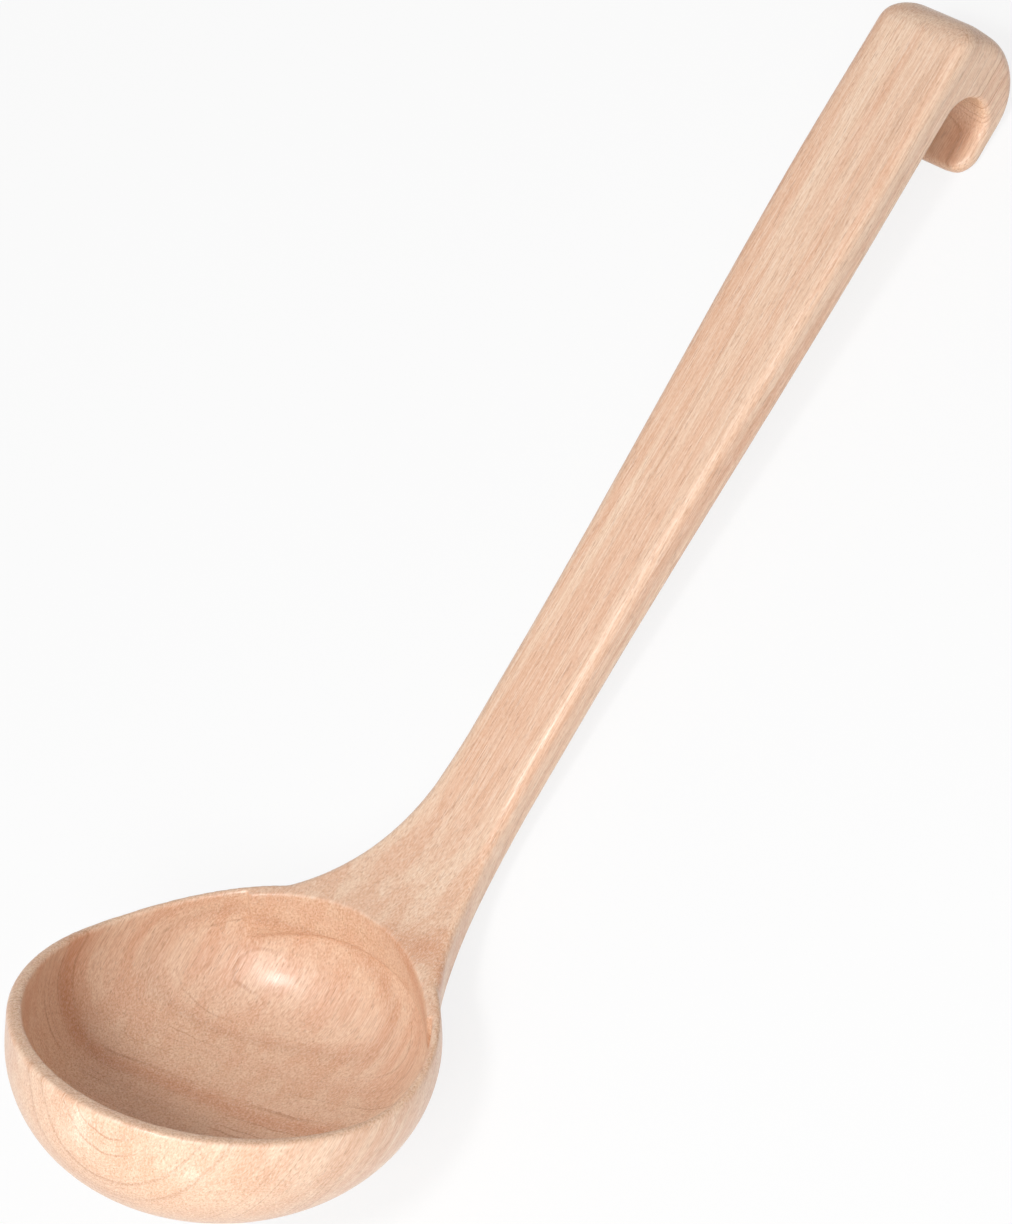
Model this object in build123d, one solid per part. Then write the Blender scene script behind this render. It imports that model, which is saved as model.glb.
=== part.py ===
from build123d import *
import math
import os

# A carved wooden soup ladle in one piece, in millimetres.
# It lies on a table: +X runs from the bowl to the hook, +Z is up.
# It is drawn with the bowl upright first, then tipped back until bowl and hook both touch the table.

# bowl, turned round; the hollow sits a little nearer the handle, so the lip is the thickest part of the wall
bowlWidth = 85.0
bowlDepth = 32.2
bellyDrop = 3.2
wallThick = 2.5
floorThick = 5.0
hollowShift = 0.9
rimRound = 0.8
mouthRound = 0.65

# side view: a straight rim, then one sweep up into the handle
rimFall = 8.0
sweepLead = 2.0
sweepRadius = 75.5
handleAngle = 48.5
handleRun = 182.5
handleThick = 7.7
underRadius = 102.0
stemLead = 2.0

# plan view
flareRadius = 58.0
waistWidth = 19.1
endWidth = 23.8
taperRadius = 400.0
edgeRound = 1.6

# hook
gapRadius = 6.6
endThick = 11.9
armThick = 3.4
armReach = 7.4
crownRadius = 7.0
heelRadius = 13.0
tongueRadius = 5.0

# how round the bowl's sides are, as a share of their depth
sideShare = 0.86
# how much the wall leans in above the belly, in degrees
wallLean = 5.0
# how far out on the bowl's outline the flare starts, as a share
flareShare = 0.97
# where the slim stretch ends and the wide one starts, as shares of the handle's straight run
slimShare = 0.26
wideShare = 0.72
# how far a side wall's normal leans to the side, at the least, as a share
wallShare = 0.5

# how far cutting forms run past what they cut
overrun = 20.0
# how finely the lying angle is found, in degrees
tiltStep = 0.001
# how closely a point has to lie on a wall to belong to it
closeness = 0.1


def turned(degrees):
    """Unit direction at an angle above the level, in the side view."""
    return Vector(math.cos(math.radians(degrees)), math.sin(math.radians(degrees)))


# side view: x forward, y up, zero on the bowl's axis where the straight rim would cross it
bowlRadius = bowlWidth / 2
rimLine = turned(-rimFall)
sweepStart = rimLine * -sweepLead
sweepCentre = sweepStart + turned(90 - rimFall) * sweepRadius
handleStart = sweepCentre + turned(handleAngle - 90) * sweepRadius
along = turned(handleAngle)
upward = turned(handleAngle + 90)
armTop = -handleThick - 2 * gapRadius
armBottom = armTop - armThick
gapRun = handleRun - endThick - gapRadius
tipRun = gapRun - armReach
underCentre = handleStart + upward * (underRadius - handleThick)

# plan view: the flare is one arc that runs smoothly from the bowl's outline into the waist
flareRing = flareShare * bowlRadius
flareRise = waistWidth / 2 + flareRadius
flareCentre = Vector(math.sqrt((flareRing + flareRadius) ** 2 - flareRise ** 2), flareRise)
flareStart = flareCentre * (flareRing / flareCentre.length)


def onHandle(run, rise):
    """A point of the side view, by its run along the top line and its rise over it."""
    return handleStart + along * run + upward * rise


def onArc(centre, radius, degrees):
    return centre + turned(degrees) * radius


def arcAngle(centre, radius, reach):
    """Direction from an arc's centre to its low point at a distance from the bowl's axis."""
    return math.degrees(math.asin((reach - centre.X) / radius)) - 90


def sideArc(centre, radius, start, end):
    """An arc of the side view between two directions from its centre."""
    middle = onArc(centre, radius, (start + end) / 2)
    return ThreePointArc(onArc(centre, radius, start), middle, onArc(centre, radius, end))


def sideProfile():
    """The sawn side view of neck, handle and hook."""
    stem = flareStart.X + stemLead
    stemTop = arcAngle(sweepCentre, sweepRadius, stem)
    stemUnder = arcAngle(underCentre, underRadius, stem)
    straight = handleAngle - 90
    with BuildSketch(Plane.XZ) as sketch:
        with BuildLine():
            sideArc(sweepCentre, sweepRadius, stemTop, straight)
            Line(handleStart, onHandle(handleRun, 0))
            Line(onHandle(handleRun, 0), onHandle(handleRun, armBottom))
            Line(onHandle(handleRun, armBottom), onHandle(tipRun, armBottom))
            Line(onHandle(tipRun, armBottom), onHandle(tipRun, armTop))
            Line(onHandle(tipRun, armTop), onHandle(gapRun, armTop))
            ThreePointArc(
                onHandle(gapRun, armTop),
                onHandle(gapRun + gapRadius, armTop + gapRadius),
                onHandle(gapRun, -handleThick),
            )
            Line(onHandle(gapRun, -handleThick), onHandle(0, -handleThick))
            sideArc(underCentre, underRadius, straight, stemUnder)
            Line(onArc(underCentre, underRadius, stemUnder), onArc(sweepCentre, sweepRadius, stemTop))
        make_face()
        fillet(nearest(sketch.vertices(), onHandle(handleRun, 0)), crownRadius)
        fillet(nearest(sketch.vertices(), onHandle(handleRun, armBottom)), heelRadius)
    return sketch.sketch


def nearest(corners, point):
    """The sketch corner that lies closest to a point."""
    return min(corners, key=lambda corner: (corner.center() - point).length)


def planProfile():
    """The outline seen from above: a neck that flares off the bowl, a slim waist, a wide end."""
    half = waistWidth / 2
    towards = math.degrees(math.atan2(-flareCentre.Y, -flareCentre.X))
    flareMiddle = onArc(flareCentre, flareRadius, (towards - 90) / 2)
    waist = Vector(flareCentre.X, half)
    slim = Vector(onHandle(slimShare * handleRun, 0).X, half)
    wide = Vector(onHandle(wideShare * handleRun, 0).X, endWidth / 2)
    end = Vector(onHandle(handleRun, armBottom).X + overrun, endWidth / 2)
    with BuildSketch() as sketch:
        with BuildLine():
            ThreePointArc(flareStart, flareMiddle, waist)
            Polyline(waist, slim, wide, end, (end.X, 0), (0, 0), flareStart)
        make_face()
        fillet([nearest(sketch.vertices(), slim), nearest(sketch.vertices(), wide)], taperRadius)
        mirror(about=Plane.XZ)
    return sketch.sketch


def tongueCorners():
    """What is cut off the end of the hook's arm to leave it rounded like a tongue."""
    corner = onHandle(tipRun + tongueRadius, armBottom)
    level = Plane(origin=(corner.X, 0, corner.Y), x_dir=(along.X, 0, along.Y), z_dir=(upward.X, 0, upward.Y))
    with BuildSketch(level) as sketch:
        Rectangle(2 * tongueRadius, 2 * endWidth, align=(Align.MAX, Align.CENTER))
        with Locations((-tongueRadius, 0)):
            corners = (Align.MIN, Align.CENTER)
            RectangleRounded(handleRun, endWidth, tongueRadius, align=corners, mode=Mode.SUBTRACT)
    return extrude(sketch.sketch, amount=armThick + gapRadius)


def isSideWall(face):
    return abs(face.normal_at(face.center()).Y) > wallShare


def sideEdges(body):
    """The edges that run round the two sawn side walls."""
    walls = [face for face in body.faces() if isSideWall(face)]
    borders = [edge for wall in walls for edge in wall.edges()]
    outer = [edge for edge in body.edges() if abs(edge.center().Y) > edgeRound]
    return [edge for edge in outer if sum(edge.is_same(border) for border in borders) == 1]


def makeHandle():
    """Neck, handle and hook: sawn in side view and in plan, softened, with the arm's end rounded last."""
    sawn = extrude(sideProfile(), amount=bowlWidth, both=True)
    shaped = sawn & extrude(planProfile(), amount=bowlWidth + handleRun, both=True)
    return fillet(sideEdges(shaped), edgeRound) - tongueCorners()


def wallRadius(height, radius):
    """How wide the leaning wall is at a height, from its radius at the belly."""
    return radius - math.tan(math.radians(wallLean)) * (height + bellyDrop)


def bowlArcs(radius, bottom):
    """The radii and centres of a bowl's bottom arc and side arc, and the angle at which they meet."""
    depth = bottom - bellyDrop
    side = sideShare * depth
    base = (radius ** 2 + depth ** 2 - 2 * radius * side) / (2 * depth - 2 * side)
    baseCentre = Vector(0, base - bottom)
    sideCentre = Vector(radius - side, -bellyDrop)
    join = math.degrees(math.atan2(sideCentre.Y - baseCentre.Y, sideCentre.X))
    return side, base, baseCentre, sideCentre, join


def bowlForm(radius, bottom):
    """A turned form: a bottom arc, a tighter side arc up to the belly, and a wall that leans in."""
    side, base, baseCentre, sideCentre, join = bowlArcs(radius, bottom)
    topRadius = wallRadius(overrun, radius)
    with BuildSketch(Plane.XZ) as sketch:
        with BuildLine():
            joint = onArc(sideCentre, side, join)
            ThreePointArc((0, -bottom), onArc(baseCentre, base, (join - 90) / 2), joint)
            ThreePointArc(joint, onArc(sideCentre, side, join / 2), (radius, -bellyDrop))
            Polyline((radius, -bellyDrop), (topRadius, overrun), (0, overrun), (0, -bottom))
        make_face()
    return revolve(sketch.sketch, Axis.Z)


def aboveRim():
    """What is sawn off over the rim, along its straight front and its sweep."""
    front = rimLine * -bowlWidth
    ceiling = handleStart.Y + overrun
    with BuildSketch(Plane.XZ) as sketch:
        with BuildLine():
            Line(front, sweepStart)
            sideArc(sweepCentre, sweepRadius, -90 - rimFall, handleAngle - 90)
            Polyline(handleStart, (handleStart.X, ceiling), (front.X, ceiling), front)
        make_face()
    return extrude(sketch.sketch, amount=bowlWidth, both=True)


def rimEdges(body):
    """The edges round the top of a body cut to the rim's line."""
    curved = [edge for edge in body.edges() if edge.geom_type != GeomType.LINE]
    return [edge for edge in curved if edge.bounding_box().min.Z > -bellyDrop / 2]


def makeBowl():
    bowl = bowlForm(bowlRadius, bowlDepth) - aboveRim()
    return fillet(rimEdges(bowl), rimRound)


def onHollow(point):
    """Whether a point lies on the hollow's wall."""
    reach = math.hypot(point.X - hollowShift, point.Y)
    return abs(reach - wallRadius(point.Z, bowlRadius - wallThick)) < closeness


def makeLadle():
    hollow = bowlForm(bowlRadius - wallThick, bowlDepth - floorThick).moved(Location((hollowShift, 0, 0)))
    body = makeBowl() + makeHandle() - hollow
    mouth = [edge for edge in rimEdges(body) if onHollow(edge @ 0) and onHollow(edge @ 1)]
    return fillet(mouth, mouthRound)


def lowest(tilt, point, radius=0):
    """How low a round corner of the side view reaches once the ladle is tipped back by an angle."""
    return point.dot(turned(90 + tilt)) - radius


def lyingTilt():
    """The angle at which bowl and hook touch the table together, found by halving."""
    side, base, baseCentre, sideCentre, join = bowlArcs(bowlRadius, bowlDepth)
    low, high = 0, handleAngle + 90
    heel = onHandle(handleRun - heelRadius, armBottom + heelRadius)
    tip = onHandle(tipRun, armBottom)
    while high - low > tiltStep:
        tilt = (low + high) / 2
        onSide = tilt > join + 90
        bowlLow = lowest(tilt, sideCentre, side) if onSide else lowest(tilt, baseCentre, base)
        neckLow = lowest(tilt, underCentre, underRadius)
        hookLow = min(lowest(tilt, heel, heelRadius), lowest(tilt, tip))
        low, high = (tilt, high) if hookLow > min(bowlLow, neckLow) else (low, tilt)
    return tilt


def onTable(body):
    """Tipped back to lie on the table, with the origin under the middle of its box."""
    tipped = body.rotate(Axis.Y, lyingTilt())
    box = tipped.bounding_box()
    return tipped.moved(Location((-box.center().X, 0, -box.min.Z)))


ladle = onTable(makeLadle())
ladle.label = "ladle"
os.makedirs("parts", exist_ok=True)
export_step(ladle, "parts/ladle.step")
print("lies tipped back by", round(lyingTilt(), 2), "degrees")
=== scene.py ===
import math

import bpy
import numpy as np
from mathutils import Matrix, Vector


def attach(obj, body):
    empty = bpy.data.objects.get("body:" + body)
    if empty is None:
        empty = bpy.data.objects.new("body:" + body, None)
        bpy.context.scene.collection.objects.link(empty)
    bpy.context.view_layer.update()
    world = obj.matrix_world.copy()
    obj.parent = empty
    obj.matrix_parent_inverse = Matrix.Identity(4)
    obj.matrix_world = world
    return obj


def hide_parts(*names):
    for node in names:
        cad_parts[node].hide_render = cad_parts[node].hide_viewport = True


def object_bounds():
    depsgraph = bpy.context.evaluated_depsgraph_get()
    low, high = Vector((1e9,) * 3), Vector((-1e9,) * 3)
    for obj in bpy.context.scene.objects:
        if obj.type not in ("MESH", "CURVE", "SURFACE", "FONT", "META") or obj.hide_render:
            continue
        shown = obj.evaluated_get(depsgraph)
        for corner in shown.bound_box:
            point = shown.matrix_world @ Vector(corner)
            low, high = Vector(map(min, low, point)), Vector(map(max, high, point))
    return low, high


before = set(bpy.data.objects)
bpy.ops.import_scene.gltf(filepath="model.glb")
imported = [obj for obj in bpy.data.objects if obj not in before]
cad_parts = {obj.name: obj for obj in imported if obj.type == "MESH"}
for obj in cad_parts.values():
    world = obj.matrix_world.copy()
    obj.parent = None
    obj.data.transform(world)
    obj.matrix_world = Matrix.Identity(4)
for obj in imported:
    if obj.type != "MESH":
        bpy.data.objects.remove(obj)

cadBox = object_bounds()
mm = 0.001
print("frame loaded")

# The ladle is drawn in millimetres with its bowl upright: x forward to the handle, y to the left, z up.
# At the end it is tipped back onto the table, as the CAD solid lies, and becomes metres.

lie = {
    "tilt": 44.08,  # degrees, tipped back about the y axis
    "shift": (-103.618, 39.456),  # then moved along x and z
}

# Points, arcs and grids

def direction(degrees):
    # unit direction in the side view, at an angle above the level, as an (x, z) pair
    return np.array([math.cos(math.radians(degrees)), math.sin(math.radians(degrees))])


def unit(vectors):
    return vectors / np.linalg.norm(vectors, axis=-1, keepdims=True)


def arcPoints(centre, radius, start, end, count):
    # points of a circle's arc in the side view: centre plus radius times the direction, angle by angle
    angles = np.radians(np.linspace(start, end, count))
    return np.array(centre) + radius * np.stack([np.cos(angles), np.sin(angles)], 1)


def joined(*runs):
    # runs of points laid end to end, each later run without its first point
    return np.concatenate([runs[0]] + [run[1:] for run in runs[1:]])


def easing(value, start, end):
    # 0 before the start, 1 after the end, and a smooth S between: 3t^2 - 2t^3
    share = np.clip((value - start) / (end - start), 0, 1)
    return share * share * (3 - 2 * share)


def roundOff(depth, radius):
    # how far a quarter circle of a radius pulls in at a depth from the end that it rounds
    near = np.clip(radius - depth, 0, radius)
    return radius - np.sqrt(radius ** 2 - near ** 2)


def meshFrom(name, points, faces):
    mesh = bpy.data.meshes.new(name)
    mesh.from_pydata(points.reshape(-1, 3).tolist(), [], faces)
    mesh.update()
    return mesh


def gridFaces(rows, columns):
    # quads between neighbouring rows and columns of a grid that closes round its rows
    across = np.arange(rows)[:, None]
    place = np.arange(columns - 1)[None, :]
    nextRow = (across + 1) % rows
    corners = [across * columns + place, nextRow * columns + place]
    corners += [corners[1] + 1, corners[0] + 1]
    return np.stack(np.broadcast_arrays(*corners), -1).reshape(-1, 4)


# Lines of the side view that bowl and handle share

sweep = {
    "fall": 8.0,  # degrees, how the straight front of the rim falls towards the bowl's middle
    "lead": 2.0,  # how far before the axis the sweep starts
    "radius": 75.5,
    "underRadius": 102.0,  # the underside sweeps in a wider arc, so the neck is thicker at its root
    "angle": 48.5,  # degrees of the handle above the bowl's level
    "thick": 7.7,
}

rimLine = direction(-sweep["fall"])
sweepStart = rimLine * -sweep["lead"]
sweepCentre = sweepStart + direction(90 - sweep["fall"]) * sweep["radius"]
handleStart = sweepCentre + direction(sweep["angle"] - 90) * sweep["radius"]
along = direction(sweep["angle"])
upward = direction(sweep["angle"] + 90)
underCentre = handleStart + upward * (sweep["underRadius"] - sweep["thick"])


def onHandle(run, rise):
    return handleStart + along * run + upward * rise


def lowArc(x, centre, radius):
    # height and slope of the lower half of a circle: z = cz - sqrt(r^2 - (x - cx)^2)
    # x is held short of the circle's sides, where the slope has no end
    reach = np.clip(x - centre[0], -0.98 * radius, 0.98 * radius)
    drop = np.sqrt(radius ** 2 - reach ** 2)
    return centre[1] - drop, reach / drop


def sawnTop(x):
    # height and slope of the sawn rim and neck: a falling line, then the sweep
    height, slope = lowArc(x, sweepCentre, sweep["radius"])
    fall = rimLine[1] / rimLine[0]
    return np.where(x < sweepStart[0], x * fall, height), np.where(x < sweepStart[0], fall, slope)


def sawnUnder(x):
    return lowArc(x, underCentre, sweep["underRadius"])


# Bowl

bowl = {
    "radius": 42.5,
    "depth": 32.2,
    "belly": 3.2,  # how far under the rim line the bowl is widest
    "wall": {"lip": 3.4, "side": 2.1, "neck": 1.7},  # the wall at the rim, by where it is
    "floor": 5.0,
    "lean": 5.0,  # degrees, how the wall leans in over the belly
    "side": 0.86,  # radius of the side's arc as a share of the depth under the belly
    "rimRound": (0.8, 0.6),  # outer and inner rounding of the rim
    "around": 560,
    "arcSteps": 40,  # points on each arc of a profile
    "roundSteps": 8,  # points on each rounding of the rim
    "wallSteps": 6,  # points up the straight wall, its ends counted
    "substitutions": 12,  # how often wall and rim are put into each other to find where they meet
}


def bowlWall(radius, bottom):
    # bottom arc and side arc of a turned form, as (r, z) points from the pole to the belly
    depth = bottom - bowl["belly"]
    side = bowl["side"] * depth
    base = (radius ** 2 + depth ** 2 - 2 * radius * side) / (2 * depth - 2 * side)
    join = math.degrees(math.atan2(-bowl["belly"] - base + bottom, radius - side))
    bottomRun = arcPoints((0, base - bottom), base, -90, join, bowl["arcSteps"])
    sideRun = arcPoints((radius - side, -bowl["belly"]), side, join, 0, bowl["arcSteps"])
    return joined(bottomRun, sideRun)


def wallAt(turns):
    # thickness by azimuth a: side + (mean of lip and neck - side) cos^2 a + (neck - lip) / 2 cos a
    lip, side, neck = bowl["wall"]["lip"], bowl["wall"]["side"], bowl["wall"]["neck"]
    forward = np.cos(turns)
    return side + ((lip + neck) / 2 - side) * forward ** 2 + (neck - lip) / 2 * forward


def rimCorner(radius, turns):
    # where the leaning wall meets the sawn rim, by azimuth: the two are solved together by substitution
    lean = math.tan(math.radians(bowl["lean"]))
    height = np.zeros_like(turns)
    for _ in range(bowl["substitutions"]):
        reach = radius - lean * (height + bowl["belly"])
        height = sawnTop(reach * np.cos(turns))[0]
    return np.stack([reach, height], -1)


def roundedCorner(corner, first, second, radius, count):
    # the arc that touches both rays from a corner, from its point on the first ray to that on the second
    half = np.arccos(np.clip((first * second).sum(-1, keepdims=True), -1, 1)) / 2
    centre = corner + unit(first + second) * radius / np.sin(half)
    start = corner + first * radius / np.tan(half) - centre
    end = corner + second * radius / np.tan(half) - centre
    share = np.linspace(0, 1, count)[None, :, None]
    span = np.pi - 2 * half[:, None]
    arc = (np.sin((1 - share) * span) * start[:, None] + np.sin(share * span) * end[:, None]) / np.sin(span)
    return centre[:, None] + arc


def makeBowl():
    # a profile for each azimuth: up the outside, round the sawn rim, and down the hollow
    turns = np.linspace(0, 2 * np.pi, bowl["around"], endpoint=False)
    lean = math.tan(math.radians(bowl["lean"]))
    down = unit(np.array([lean, -1.0]))[None].repeat(len(turns), 0)
    innerRadius = bowl["radius"] - wallAt(turns)
    outer = rimCorner(bowl["radius"], turns)
    inner = rimCorner(innerRadius, turns)
    inward = unit(inner - outer)
    outerRound = roundedCorner(outer, down, inward, bowl["rimRound"][0], bowl["roundSteps"])
    innerRound = roundedCorner(inner, -inward, down, bowl["rimRound"][1], bowl["roundSteps"])
    rows = len(turns)
    shell = bowlWall(bowl["radius"], bowl["depth"])
    outside = np.broadcast_to(shell, (rows,) + shell.shape)
    hollow = bowlWall(innerRadius.mean(), bowl["depth"] - bowl["floor"])[::-1]
    inside = np.broadcast_to(hollow, (rows,) + hollow.shape).copy()
    inside[..., 0] *= (innerRadius / innerRadius.mean())[:, None]
    share = np.linspace(0, 1, bowl["wallSteps"])[None, 1:-1, None]
    rise = outside[:, -1:] + (outerRound[:, :1] - outside[:, -1:]) * share
    fall = innerRound[:, -1:] + (inside[:, :1] - innerRound[:, -1:]) * share
    profile = np.concatenate([outside[:, 1:], rise, outerRound, innerRound, fall, inside[:, :-1]], 1)
    columns = profile.shape[1]
    spoke = np.stack([np.cos(turns), np.sin(turns)], 1)[:, None]
    points = np.concatenate([profile[..., :1] * spoke, profile[..., 1:]], -1)
    poles = np.array([[0, 0, outside[0, 0, 1]], [0, 0, hollow[-1, 1]]])
    ring = np.arange(rows) * columns
    following = np.roll(ring, -1)
    low = np.stack([np.full(rows, rows * columns), following, ring], 1)
    high = np.stack([np.full(rows, rows * columns + 1), ring + columns - 1, following + columns - 1], 1)
    faces = gridFaces(rows, columns).tolist() + low.tolist() + high.tolist()
    return meshFrom("bowl", np.concatenate([points.reshape(-1, 3), poles]), faces)


# Neck, handle and hook

handle = {
    "run": 182.5,  # from the end of the sweep to the far end
    "flareShare": 0.97,  # radius of the ring that the flare leaves, as a share of the bowl's
    "flareRadius": 58.0,
    "flareReach": 57.0,  # the flare's arc is followed this far, just short of its radius
    "waist": 9.55,  # half widths
    "end": 11.9,
    "slim": 0.26,  # where the slim stretch ends and the wide one starts, as shares of the run
    "wide": 0.72,
    "ease": 0.2,  # how far the widening runs past both, as a share of the stretch between them
    "topRound": 2.0,  # roundings of the upper and the lower edges
    "underRound": 1.6,
    "roots": 46,  # stations over the neck
    "crowding": 1.3,  # the power by which those stations crowd towards the bowl
    "across": 25,  # points over the top and over the underside
    "roundSteps": 8,  # points on each rounded edge
    "sideSteps": 6,  # points down each side, its ends counted
}
hook = {
    "gap": 6.6,  # radius of the round seat
    "end": 11.9,  # wood between the seat and the far end
    "arm": 3.4,  # thickness of the tongue
    "reach": 7.4,  # how far the tongue comes back past the seat's middle
    "crown": 7.0,  # outer radii of the end, above and below, in the side view
    "heel": 13.0,
    "tongue": 5.2,  # how the tongue's corners are rounded, seen from above
    "tipRound": 1.45,  # how its tip thins, seen from the side
    "crownRound": 3.0,  # rounding of the edges over the crown
    "armRound": 1.3,  # and of the tongue's edges
    "crownCorner": 5.5,  # how the far corners of the crown are rounded, seen from above
    "cornerFade": (-11.0, -3.0),  # heights against the handle's top between which that rounding grows
    "softer": (190, 250),  # stations between which the edges get softer, towards the crown
    "tighter": (268, 298),  # stations between which they get tight again, on the arm
}
steps = {"bar": 240, "crown": 22, "back": 8, "heel": 34, "arm": 30}  # points on each run of the side lines
slack = 0.01  # mm, half the step over which slopes are taken, and the leeway when heights are compared

# the flare's arc touches the waist line and a ring just inside the bowl's outline
flareRing = handle["flareShare"] * bowl["radius"]
flareRise = handle["waist"] + handle["flareRadius"]
waistX = math.sqrt((flareRing + handle["flareRadius"]) ** 2 - flareRise ** 2)
quarterTurn = np.linspace(0, np.pi / 2, handle["roundSteps"])
acrossShare = np.linspace(-1, 1, handle["across"])


def halfWidth(x):
    # the outline seen from above: an arc off the bowl, a slim waist, and a smooth widening to the end
    back = np.clip(waistX - x, 0, handle["flareReach"])
    flare = flareRise - np.sqrt(handle["flareRadius"] ** 2 - back ** 2)
    slimX = onHandle(handle["slim"] * handle["run"], 0)[0]
    wideX = onHandle(handle["wide"] * handle["run"], 0)[0]
    beyond = handle["ease"] * (wideX - slimX)
    blend = easing(x, slimX - beyond, wideX + beyond)
    return np.where(x < waistX, flare, handle["waist"] + (handle["end"] - handle["waist"]) * blend)


def flareStart():
    # the plan point at which the flare leaves the bowl's outline
    centre = np.array([waistX, flareRise])
    return centre * flareRing / np.linalg.norm(centre)


armTop = -sweep["thick"] - 2 * hook["gap"]
armBottom = armTop - hook["arm"]
gapRun = handle["run"] - hook["end"] - hook["gap"]
tipRun = gapRun - hook["reach"]


def sideLines():
    # the outer and the inner line of handle and hook in the side view, with as many points each, run by run
    angle = sweep["angle"]
    run, under = handle["run"], -sweep["thick"]
    crown, heel, gap = hook["crown"], hook["heel"], hook["gap"]
    seatSteps = steps["crown"] + steps["back"] + steps["heel"] - 2
    outer = joined(
        np.linspace(onHandle(0, 0), onHandle(run - crown, 0), steps["bar"]),
        arcPoints(onHandle(run - crown, -crown), crown, angle + 90, angle, steps["crown"]),
        np.linspace(onHandle(run, -crown), onHandle(run, armBottom + heel), steps["back"]),
        arcPoints(onHandle(run - heel, armBottom + heel), heel, angle, angle - 90, steps["heel"]),
        np.linspace(onHandle(run - heel, armBottom), onHandle(tipRun, armBottom), steps["arm"]))
    inner = joined(
        np.linspace(onHandle(0, under), onHandle(gapRun, under), steps["bar"]),
        arcPoints(onHandle(gapRun, armTop + gap), gap, angle + 90, angle - 90, seatSteps),
        np.linspace(onHandle(gapRun, armTop), onHandle(tipRun, armTop), steps["arm"]))
    return outer, inner


def edgeRounds(count):
    # rounding of the outer and inner edges by station: softer over the crown, tighter on the thin arm
    station = np.arange(count)
    over, arm = easing(station, *hook["softer"]), easing(station, *hook["tighter"])
    outer = handle["topRound"] + (hook["crownRound"] - handle["topRound"]) * over
    outer += (hook["armRound"] - hook["crownRound"]) * arm
    inner = handle["underRound"] + (hook["armRound"] - handle["underRound"]) * over
    return outer[:, None], inner[:, None]


def neckSide(line, sawn, edge, rising):
    # top or underside of the neck: its first station is an arc inside the bowl's round wall,
    # and from there on the stations straighten until the last is level across
    share = np.linspace(0, 1, handle["roots"])[:-1] ** handle["crowding"]
    boundary = flareStart()[0] + (line[0, 0] - flareStart()[0]) * share
    half = halfWidth(boundary)
    slope = (halfWidth(boundary + slack) - halfWidth(boundary - slack)) / (2 * slack)
    outward = unit(np.stack([-slope, np.ones_like(slope)], 1))
    inset = edge * (1 - np.sin(quarterTurn))
    x = boundary[:, None] - outward[:, :1] * inset
    y = half[:, None] - outward[:, 1:] * inset
    height, rise = sawn(x)
    z = height + edge * (1 - np.cos(quarterTurn)) * rising * np.sqrt(1 + rise ** 2)
    flatY = acrossShare * y[:, :1]
    bulge = np.sqrt(flareRing ** 2 - flatY ** 2) - np.sqrt(flareRing ** 2 - y[:, :1] ** 2)
    flatX = x[:, :1] + bulge * (1 - share)[:, None]
    flat = np.stack([flatX, flatY, sawn(flatX)[0]], -1)
    return np.stack([x, y, z], -1), flat


def barSide(line, edge, side):
    # the same for the straight handle and the hook, where each station is level across
    step = unit(np.gradient(line, axis=0))
    normals = side * np.stack([-step[:, 1], step[:, 0]], 1)
    depth = edge * (1 - np.cos(quarterTurn))
    y = halfWidth(line[:, 0])[:, None] - edge * (1 - np.sin(quarterTurn))
    x = line[:, :1] + normals[:, :1] * depth
    z = line[:, 1:] + normals[:, 1:] * depth
    flatY = acrossShare * y[:, :1]
    flat = np.stack([line[:, :1] + 0 * flatY, flatY, line[:, 1:] + 0 * flatY], -1)
    return np.stack([x, y, z], -1), flat


def makeHandle():
    # a rounded section carried along the two side lines: top, rounding, side, rounding, underside,
    # and the same back again on the other side
    outerLine, innerLine = sideLines()
    outerRound, innerRound = edgeRounds(len(outerLine))
    sides = []
    courses = [(outerLine, sawnTop, outerRound, -1), (innerLine, sawnUnder, innerRound, 1)]
    for line, sawn, edge, side in courses:
        neck, neckFlat = neckSide(line, sawn, edge[0], side)
        bar, barFlat = barSide(line, edge, side)
        sides.append((np.concatenate([neck, bar]), np.concatenate([neckFlat, barFlat])))
    (top, topFlat), (low, lowFlat) = sides
    mirror = np.array([1, -1, 1])
    sideShare = np.linspace(0, 1, handle["sideSteps"])[None, 1:-1, None]
    side = top[:, -1:] + (low[:, -1:] - top[:, -1:]) * sideShare
    left = np.concatenate([topFlat[:, -1:], top[:, 1:], side, low[:, ::-1][:, :-1]], 1)
    right = left[:, ::-1][:, :-1] * mirror
    loop = np.concatenate([topFlat[:, :-1], left, lowFlat[:, ::-1][:, :-1], right], 1)
    loop = shapeEnd(loop)
    rows, columns = loop.shape[:2]
    # the grid is columns round the loop by rows along it, so the points are laid out that way round
    ring = np.arange(columns) * rows
    caps = endCap(ring) + [face[::-1] for face in endCap(ring + rows - 1)]
    return meshFrom("handle", loop.transpose(1, 0, 2), gridFaces(columns, rows).tolist() + caps)


def endCap(loop):
    # a strip of quads between the top and the underside of an end, and one face at each rounded side
    count, half = handle["across"], len(loop) // 2
    top, low = loop[:count], loop[half:half + count][::-1]
    strip = np.stack([top[:-1], top[1:], low[1:], low[:-1]], 1).tolist()
    left = loop[count - 1:half + 1].tolist()
    right = np.append(loop[half + count - 1:], loop[0]).tolist()
    return strip + [left, right]


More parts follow.
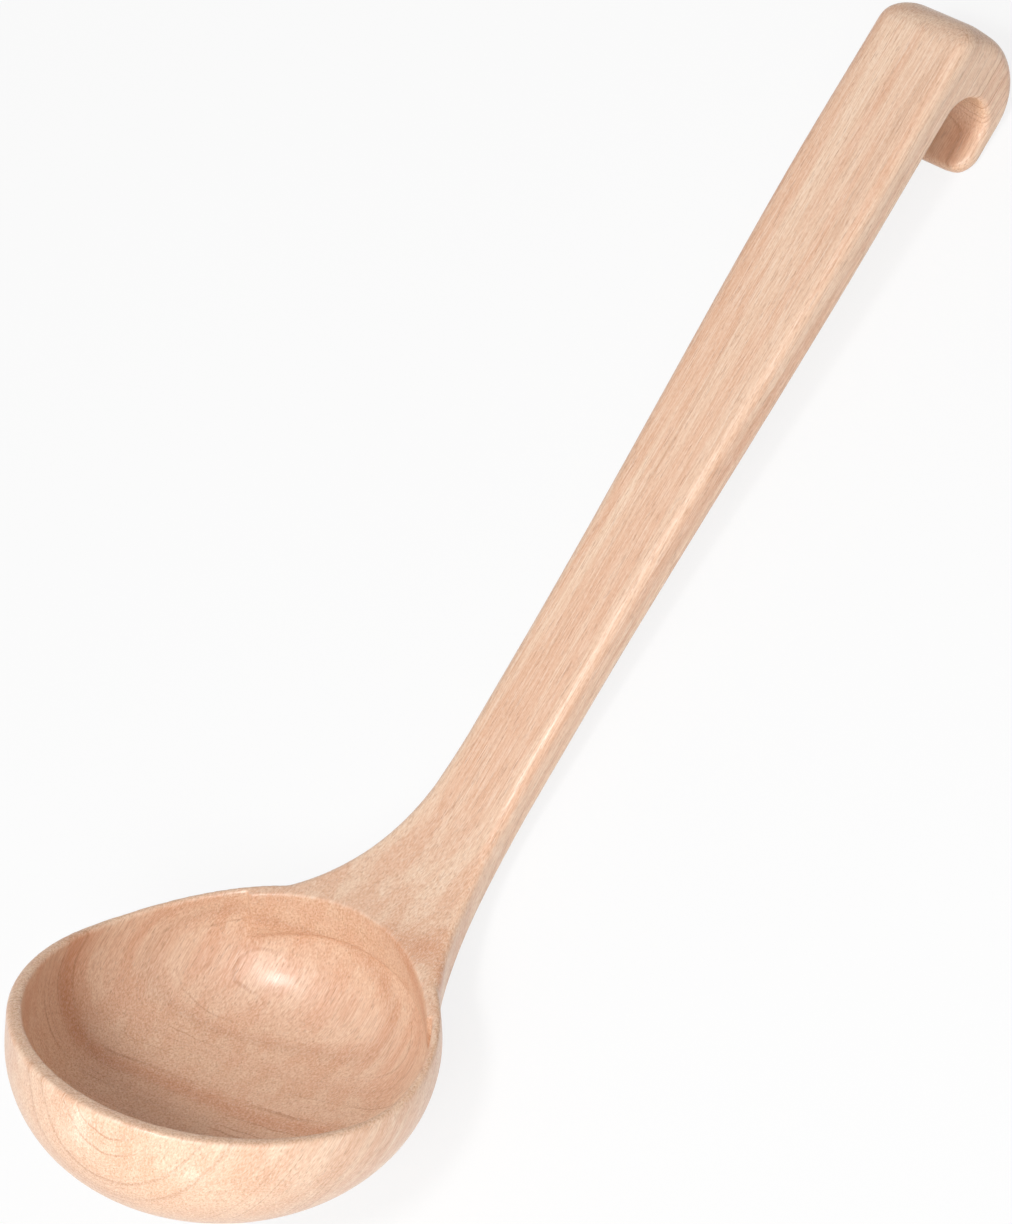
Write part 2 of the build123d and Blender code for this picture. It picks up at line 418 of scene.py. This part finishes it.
def shapeEnd(loop):
    # round the tongue's corners in plan, thin its tip, and round the far corners of the crown
    local = loop[..., [0, 2]] - handleStart
    run, rise = local @ along, local @ upward
    station = np.arange(len(loop))[:, None]
    onArm = (station >= len(loop) - steps["arm"]) & (rise < armTop + slack)
    depth = run - tipRun
    narrow = roundOff(depth, hook["tongue"])
    thin = roundOff(depth, hook["tipRound"]) / (hook["arm"] / 2)
    pinch = roundOff(handle["run"] - run, hook["crownCorner"]) * easing(rise, *hook["cornerFade"])
    loop[..., 1] *= 1 - (np.where(onArm, narrow, 0) + pinch) / handle["end"]
    squeezed = np.where(onArm, (armTop - hook["arm"] / 2 - rise) * thin, 0)
    loop[..., 0] += squeezed * upward[0]
    loop[..., 2] += squeezed * upward[1]
    return loop


# One body

body = {
    "voxel": 0.44,  # mm
    "triangles": 185000,
    "margin": 0.000002,  # metres, how far the skin stays inside the CAD solid's box at least
    "settle": 2,  # rounds of light smoothing all over
    "soften": 26,  # rounds of smoothing where the neck grows out of the bowl, and at the belly
    "wallReach": 3.0,  # mm, how far from the bowl's wall the softening under the neck fades
    "underReach": 3.5,  # mm, how far from the neck's underside it fades
    "cornerRun": (20, 8),  # mm along x, where it starts and over what length it grows
    "bellyReach": 1.8,  # mm, how far above and below the belly the softening there fades
    "bellyEnd": 36,  # mm along x, the belly is softened up to here, short of the neck
}


def joinedBody():
    # both forms in one mesh, then one skin over them, as the real piece is cut from one block
    pieces = [bpy.data.objects.new(mesh.name, mesh) for mesh in (makeBowl(), makeHandle())]
    for piece in pieces:
        bpy.context.scene.collection.objects.link(piece)
    bpy.ops.object.select_all(action="DESELECT")
    for piece in pieces:
        piece.select_set(True)
    bpy.context.view_layer.objects.active = pieces[0]
    bpy.ops.object.join()
    whole = pieces[0]
    whole.name = whole.data.name = "carvedLadle"
    skin = whole.modifiers.new("skin", "REMESH")
    skin.mode = "VOXEL"
    skin.voxel_size = body["voxel"]
    bpy.ops.object.modifier_apply(modifier=skin.name)
    return whole


def smoothed(points, edges, weight, rounds):
    # each point moves half of the way to the middle of its neighbours, times its weight
    ends = np.concatenate([edges[:, 0], edges[:, 1]])
    others = np.concatenate([edges[:, 1], edges[:, 0]])
    count = np.bincount(ends, minlength=len(points))[:, None]
    for _ in range(rounds):
        total = np.stack([np.bincount(ends, points[others, axis], len(points)) for axis in range(3)], 1)
        points = points + (total / count - points) * 0.5 * weight[:, None]
    return points


def readPoints(mesh):
    points = np.zeros(len(mesh.vertices) * 3, np.float32)
    mesh.vertices.foreach_get("co", points)
    return points.reshape(-1, 3).astype(float)


def writePoints(mesh, points):
    mesh.vertices.foreach_set("co", points.astype(np.float32).ravel())
    mesh.update()


def readEdges(mesh):
    edges = np.zeros(len(mesh.edges) * 2, np.int32)
    mesh.edges.foreach_get("vertices", edges)
    return edges.reshape(-1, 2)


def softenedSkin(points, edges):
    # lightly smoothed all over, more in the hollow corner under the neck, and more at the belly,
    # where the wall starts to lean in
    points = smoothed(points, edges, np.ones(len(points)), body["settle"])
    fromWall = np.hypot(points[:, 0], points[:, 1]) - bowl["radius"]
    fromUnder = points[:, 2] - sawnUnder(points[:, 0])[0]
    nearWall = np.exp(-(fromWall / body["wallReach"]) ** 2)
    nearUnder = np.exp(-(fromUnder / body["underReach"]) ** 2)
    start, length = body["cornerRun"]
    corner = nearWall * nearUnder * np.clip((points[:, 0] - start) / length, 0, 1)
    points = smoothed(points, edges, corner, body["soften"])
    nearBelly = np.exp(-((points[:, 2] + bowl["belly"]) / body["bellyReach"]) ** 2)
    return smoothed(points, edges, nearBelly * (points[:, 0] < body["bellyEnd"]), body["soften"])


def laidDown(points):
    # turned about the y axis, moved along x and z, and changed from millimetres to metres
    tilt = math.radians(lie["tilt"])
    x = points[:, 0] * math.cos(tilt) + points[:, 2] * math.sin(tilt) + lie["shift"][0]
    z = points[:, 2] * math.cos(tilt) - points[:, 0] * math.sin(tilt) + lie["shift"][1]
    return np.stack([x, points[:, 1], z], 1) * mm


def finishBody(whole):
    # smooth the skin, lay the ladle on the table, thin out the mesh and keep it in the CAD solid's box
    mesh = whole.data
    writePoints(mesh, laidDown(softenedSkin(readPoints(mesh), readEdges(mesh))))
    fewer = whole.modifiers.new("fewer", "DECIMATE")
    fewer.ratio = min(1.0, body["triangles"] / (2 * len(mesh.polygons)))
    bpy.ops.object.modifier_apply(modifier=fewer.name)
    low, high = (np.array(corner) for corner in cadBox)
    inside = np.clip(readPoints(whole.data), low + body["margin"], high - body["margin"])
    writePoints(whole.data, inside)
    whole.data.polygons.foreach_set("use_smooth", np.ones(len(whole.data.polygons), bool))
    whole.data.update()


ladle = joinedBody()
print("ladle skin", len(ladle.data.polygons), "faces")
finishBody(ladle)
print("ladle body", len(ladle.data.polygons), "faces")


# Shaders as expressions

class Colour(tuple):
    pass


class Socket:
    # an output that takes part in ordinary sums and products
    def __init__(self, graph, link):
        self.graph, self.link = graph, link

    def math(self, operation, *others):
        inputs = dict(enumerate((self,) + others))
        return self.graph.node("ShaderNodeMath", {"operation": operation}, inputs)

    def output(self, name):
        return Socket(self.graph, self.link.node.outputs[name])

    def __add__(self, other):
        return self.math("ADD", other)

    def __sub__(self, other):
        return self.math("SUBTRACT", other)

    def __mul__(self, other):
        return self.math("MULTIPLY", other)

    def __truediv__(self, other):
        return self.math("DIVIDE", other)

    def __pow__(self, other):
        return self.math("POWER", other)

    def __rsub__(self, other):
        return (self * -1) + other

    __radd__, __rmul__ = __add__, __mul__


class Graph:
    # the node tree of a material or a world
    def __init__(self, owner):
        owner.use_nodes = True
        self.owner, self.tree = owner, owner.node_tree
        self.tree.nodes.clear()

    def node(self, kind, settings=None, inputs=None, output=0):
        # one node: its settings, then its sockets' values or links, and one of its outputs
        made = self.tree.nodes.new(kind)
        for key, value in (settings or {}).items():
            setattr(made, key, value)
        for key, value in (inputs or {}).items():
            if isinstance(value, Socket):
                self.tree.links.new(value.link, made.inputs[key])
            else:
                made.inputs[key].default_value = (*value, 1) if isinstance(value, Colour) else value
        return Socket(self, made.outputs[output])

    def mix(self, share, first, second):
        return self.node("ShaderNodeMix", {"data_type": "RGBA"}, {0: share, 6: first, 7: second}, 2)

    def noise(self, vector, scale, detail=1.0, rough=0.5):
        return self.node("ShaderNodeTexNoise", None, {
            "Vector": vector, "Scale": scale, "Detail": detail, "Roughness": rough})

    def span(self, value, low, high):
        # 0 at the low value, 1 at the high one, smooth between and held outside
        settings = {"interpolation_type": "SMOOTHSTEP"}
        return self.node("ShaderNodeMapRange", settings, {0: value, 1: low, 2: high})

    def ridge(self, value, place, width):
        # a soft peak of height 1: exp(-((value - place) / width)^2)
        offset = (value - place) / width
        return (offset * offset * -1).math("EXPONENT")

    def finish(self, shader, kind="ShaderNodeOutputMaterial"):
        self.tree.links.new(shader.link, self.tree.nodes.new(kind).inputs[0])
        return self.owner


def written(red, green, blue):
    # a colour written as a screen shows it, 0 to 255, made linear for the shader
    return Colour(((value / 255 + 0.055) / 1.055) ** 2.4 for value in (red, green, blue))


# Wood

wood = {
    "fibre": 4.42,  # degrees, how the fibres rise towards the hook
    "pith": (-19.0, 96.0),  # mm, the tree's middle seen along the fibres: to the left, and up
    "pale": written(240, 208, 181),
    "warm": written(229, 184, 154),
    "cut": written(212, 153, 95),  # the darker tone of fibres cut across
    "red": written(203, 130, 86),
    "late": written(182, 124, 88),
    "pore": written(150, 100, 70),
    # near white, laid on thin threads and specks: partly the wood's pale fibres, partly a painted sheen of
    # light along them
    "paleFibreAndPaintedSheen": written(252, 234, 218),
    "reddish": (74.0, 1.7),  # distance from the pith and width of the reddish zone
    "loop": (85.7, 0.8),  # the dark ring that closes to a loop inside the bowl
    "outer": ((26.6, 0.4), (31.0, 0.5)),  # rings that show on the bowl's outside
}


def woodMaterial():
    graph = Graph(bpy.data.materials.new("satinWood"))
    node, noise, mix, span, ridge = graph.node, graph.noise, graph.mix, graph.span, graph.ridge
    place = node("ShaderNodeTexCoord", output="Object")
    turned = node("ShaderNodeMapping", {"vector_type": "TEXTURE"}, {
        0: place, 2: (0, math.radians(-wood["fibre"]), 0), 3: (mm, mm, mm)})

    def stretched(lengthwise):
        # the same place with the fibre direction squeezed, so that patterns run long
        return node("ShaderNodeMapping", None, {0: turned, 3: (1 / lengthwise, 1, 1)})

    def yearly(scale, detail):
        # a pattern that changes only with the distance from the pith
        sockets = {"W": distance, "Scale": scale, "Detail": detail}
        return node("ShaderNodeTexNoise", {"noise_dimensions": "1D"}, sockets)

    # growth rings: how far a point lies from the pith line, a little uneven along the tree
    split = node("ShaderNodeSeparateXYZ", None, {0: turned})
    side, rise = split.output("Y") - wood["pith"][0], split.output("Z") - wood["pith"][1]
    uneven = (noise(stretched(5.0), 0.03) - 0.5) * 3.4 + (noise(stretched(8.0), 0.2) - 0.5) * 0.7
    distance = (side * side + rise * rise) ** 0.5 + uneven
    years = yearly(0.42, 2.0)
    fineYears = yearly(1.3, 1.0)
    lines = span(fineYears, 0.60, 0.72) * span(noise(stretched(6.0), 0.05), 0.42, 0.62)
    loop = ridge(distance, *wood["loop"])
    outer = ridge(distance, *wood["outer"][0]) + ridge(distance, *wood["outer"][1])
    reddish = ridge(distance, *wood["reddish"])

    # how squarely a surface cuts the fibres: 0 along them, 1 straight across
    fibre = direction(wood["fibre"])
    facing = node("ShaderNodeVectorMath", {"operation": "DOT_PRODUCT"}, {
        0: place.output("Normal"), 1: (fibre[0], 0, fibre[1])}, "Value")
    cut = facing * facing

    # fibres and pores: thin threads that show as lines along the grain and as specks on cut ends
    band = noise(stretched(22.0), 0.24)
    streak = noise(stretched(40.0), 1.3, 2.0, 0.6)
    thread = noise(stretched(36.0), 4.2, 1.0, 0.6)
    speck = noise(stretched(2.6), 2.5, 1.0, 0.6)
    pores = span(noise(stretched(9.0), 3.0), 0.60, 0.74)

    # the tones laid over one another, each by where and how strongly it shows
    colour = mix(span(band, 0.42, 0.62) * (1 - cut * 0.9) * 0.85, wood["pale"], wood["warm"])
    colour = mix(cut * 0.42 + 0.04, colour, wood["cut"])
    colour = mix(span(years, 0.40, 0.66) * 0.34, colour, wood["warm"])
    colour = mix(reddish * 0.50, colour, wood["red"])
    colour = mix(lines * 0.50 + loop * 0.22 + outer * 0.34, colour, wood["late"])
    colour = mix(span(streak, 0.54, 0.80) * 0.16, colour, wood["red"])
    colour = mix(span(thread, 0.44, 0.74) * 0.28, colour, wood["late"])
    # pale threads where the surface is also least rough: partly pale fibre tone, partly a painted sheen
    # along the grain
    colour = mix(span(thread, 0.50, 0.26) * 0.30, colour, wood["paleFibreAndPaintedSheen"])
    colour = mix(span(speck, 0.52, 0.30) * (cut * 0.30 + 0.16), colour, wood["late"])
    # pale specks: partly pale pores, partly painted glints on the cut fibres
    colour = mix(span(speck, 0.50, 0.72) * (cut * 0.16 + 0.14), colour, wood["paleFibreAndPaintedSheen"])
    colour = mix(pores * 0.26, colour, wood["pore"])

    height = thread + speck * 0.6 - pores * 0.6
    bump = node("ShaderNodeBump", None, {"Strength": 0.8, "Distance": 0.00008, "Height": height})
    shader = node("ShaderNodeBsdfPrincipled", None, {
        "Base Color": colour, "Roughness": thread * 0.16 + 0.30, "Normal": bump, "IOR": 1.48,
        "Coat Weight": 0.25, "Coat Roughness": 0.2})
    return graph.finish(shader)


ladle.data.materials.clear()
ladle.data.materials.append(woodMaterial())
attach(ladle, "root")
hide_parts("ladle")
print("wood finished")


# Floor, lights and camera

studio = {
    "floor": 0.9,  # metres, half its side
    "paper": 0.8,
    "lift": 0.85,  # how much of the floor's look is plain white, so that only a faint shadow stays
    "sky": 0.34,  # strength of the soft light from all round
}


def seenDirectly(graph):
    # 1 for camera rays, mirror-like rays and rays through clear things, 0 for light that falls on things
    path = graph.node("ShaderNodeLightPath")
    straight = path.output("Is Camera Ray").math("MAXIMUM", path.output("Is Glossy Ray"))
    return straight.math("MAXIMUM", path.output("Is Transmission Ray"))


def makeFloor():
    half = studio["floor"]
    points = np.array([[-half, -half, 0], [half, -half, 0], [half, half, 0], [-half, half, 0]])
    floor = bpy.data.objects.new("floor", meshFrom("floor", points, [[0, 1, 2, 3]]))
    bpy.context.scene.collection.objects.link(floor)
    graph = Graph(bpy.data.materials.new("paper"))
    matt = graph.node("ShaderNodeBsdfDiffuse", None, {0: Colour([studio["paper"]] * 3)})
    white = graph.node("ShaderNodeEmission", None, {0: Colour((1, 1, 1)), 1: 1.0})
    share = seenDirectly(graph) * studio["lift"]
    mixed = graph.node("ShaderNodeMixShader", None, {0: share, 1: matt, 2: white})
    floor.data.materials.append(graph.finish(mixed))


def makeWorld():
    graph = Graph(bpy.data.worlds.new("studio"))
    soft = graph.node("ShaderNodeBackground", None, {0: Colour((1, 1, 1)), 1: studio["sky"]})
    white = graph.node("ShaderNodeBackground", None, {0: Colour((1, 1, 1)), 1: 1.0})
    mixed = graph.node("ShaderNodeMixShader", None, {0: seenDirectly(graph), 1: soft, 2: white})
    bpy.context.scene.world = graph.finish(mixed, "ShaderNodeOutputWorld")


# place and aim in metres, power in watts
lamps = {
    "over": {"at": (-0.216, -0.2, 0.923), "aim": (-0.05, 0.0, 0.03), "size": (0.17, 0.17), "power": 4.4},
    "front": {"at": (-0.482, -0.432, 0.758), "aim": (-0.05, 0.0, 0.03), "size": (0.4, 0.4), "power": 3.0},
    "low": {"at": (-0.33, -0.73, 0.1), "aim": (-0.097, 0.035, 0.02), "size": (0.1, 0.1), "power": 0.8},
    "left": {"at": (-0.77, 0.265, 0.18), "aim": (-0.135, 0.0, 0.066), "size": (0.1, 0.1), "power": 0.45},
    "edge": {"at": (-0.67, -0.28, 0.07), "aim": (-0.128, -0.03, 0.055), "size": (0.1, 0.1), "power": 0.35},
}


def makeLamps():
    for name, lamp in lamps.items():
        light = bpy.data.lights.new(name, "AREA")
        light.shape = "RECTANGLE"
        light.size, light.size_y = lamp["size"]
        light.energy = lamp["power"]
        holder = bpy.data.objects.new(name, light)
        bpy.context.scene.collection.objects.link(holder)
        towards = Vector(lamp["aim"]) - Vector(lamp["at"])
        turn = towards.to_track_quat("-Z", "Y").to_matrix().to_4x4()
        holder.matrix_world = Matrix.Translation(lamp["at"]) @ turn


# the camera as fitted to the photo: its place in metres, and where the picture's right and top point
view = {
    "at": (-0.053473, -0.508778, 0.693168),
    "right": (0.54381, -0.68208, -0.48891),
    "up": (0.83733, 0.4021, 0.37039),
    "lens": 125.0,
}


def makeCamera():
    camera = bpy.data.cameras.new("camera")
    camera.sensor_width = 36.0
    camera.lens = view["lens"]
    camera.clip_start, camera.clip_end = 0.01, 20
    holder = bpy.data.objects.new("camera", camera)
    bpy.context.scene.collection.objects.link(holder)
    right = Vector(view["right"]).normalized()
    back = right.cross(Vector(view["up"])).normalized()
    turn = Matrix((right, back.cross(right), back)).transposed().to_4x4()
    holder.matrix_world = Matrix.Translation(view["at"]) @ turn
    bpy.context.scene.camera = holder


makeFloor()
makeWorld()
makeLamps()
makeCamera()
bpy.context.scene.view_settings.view_transform = "Standard"
print("studio ready")
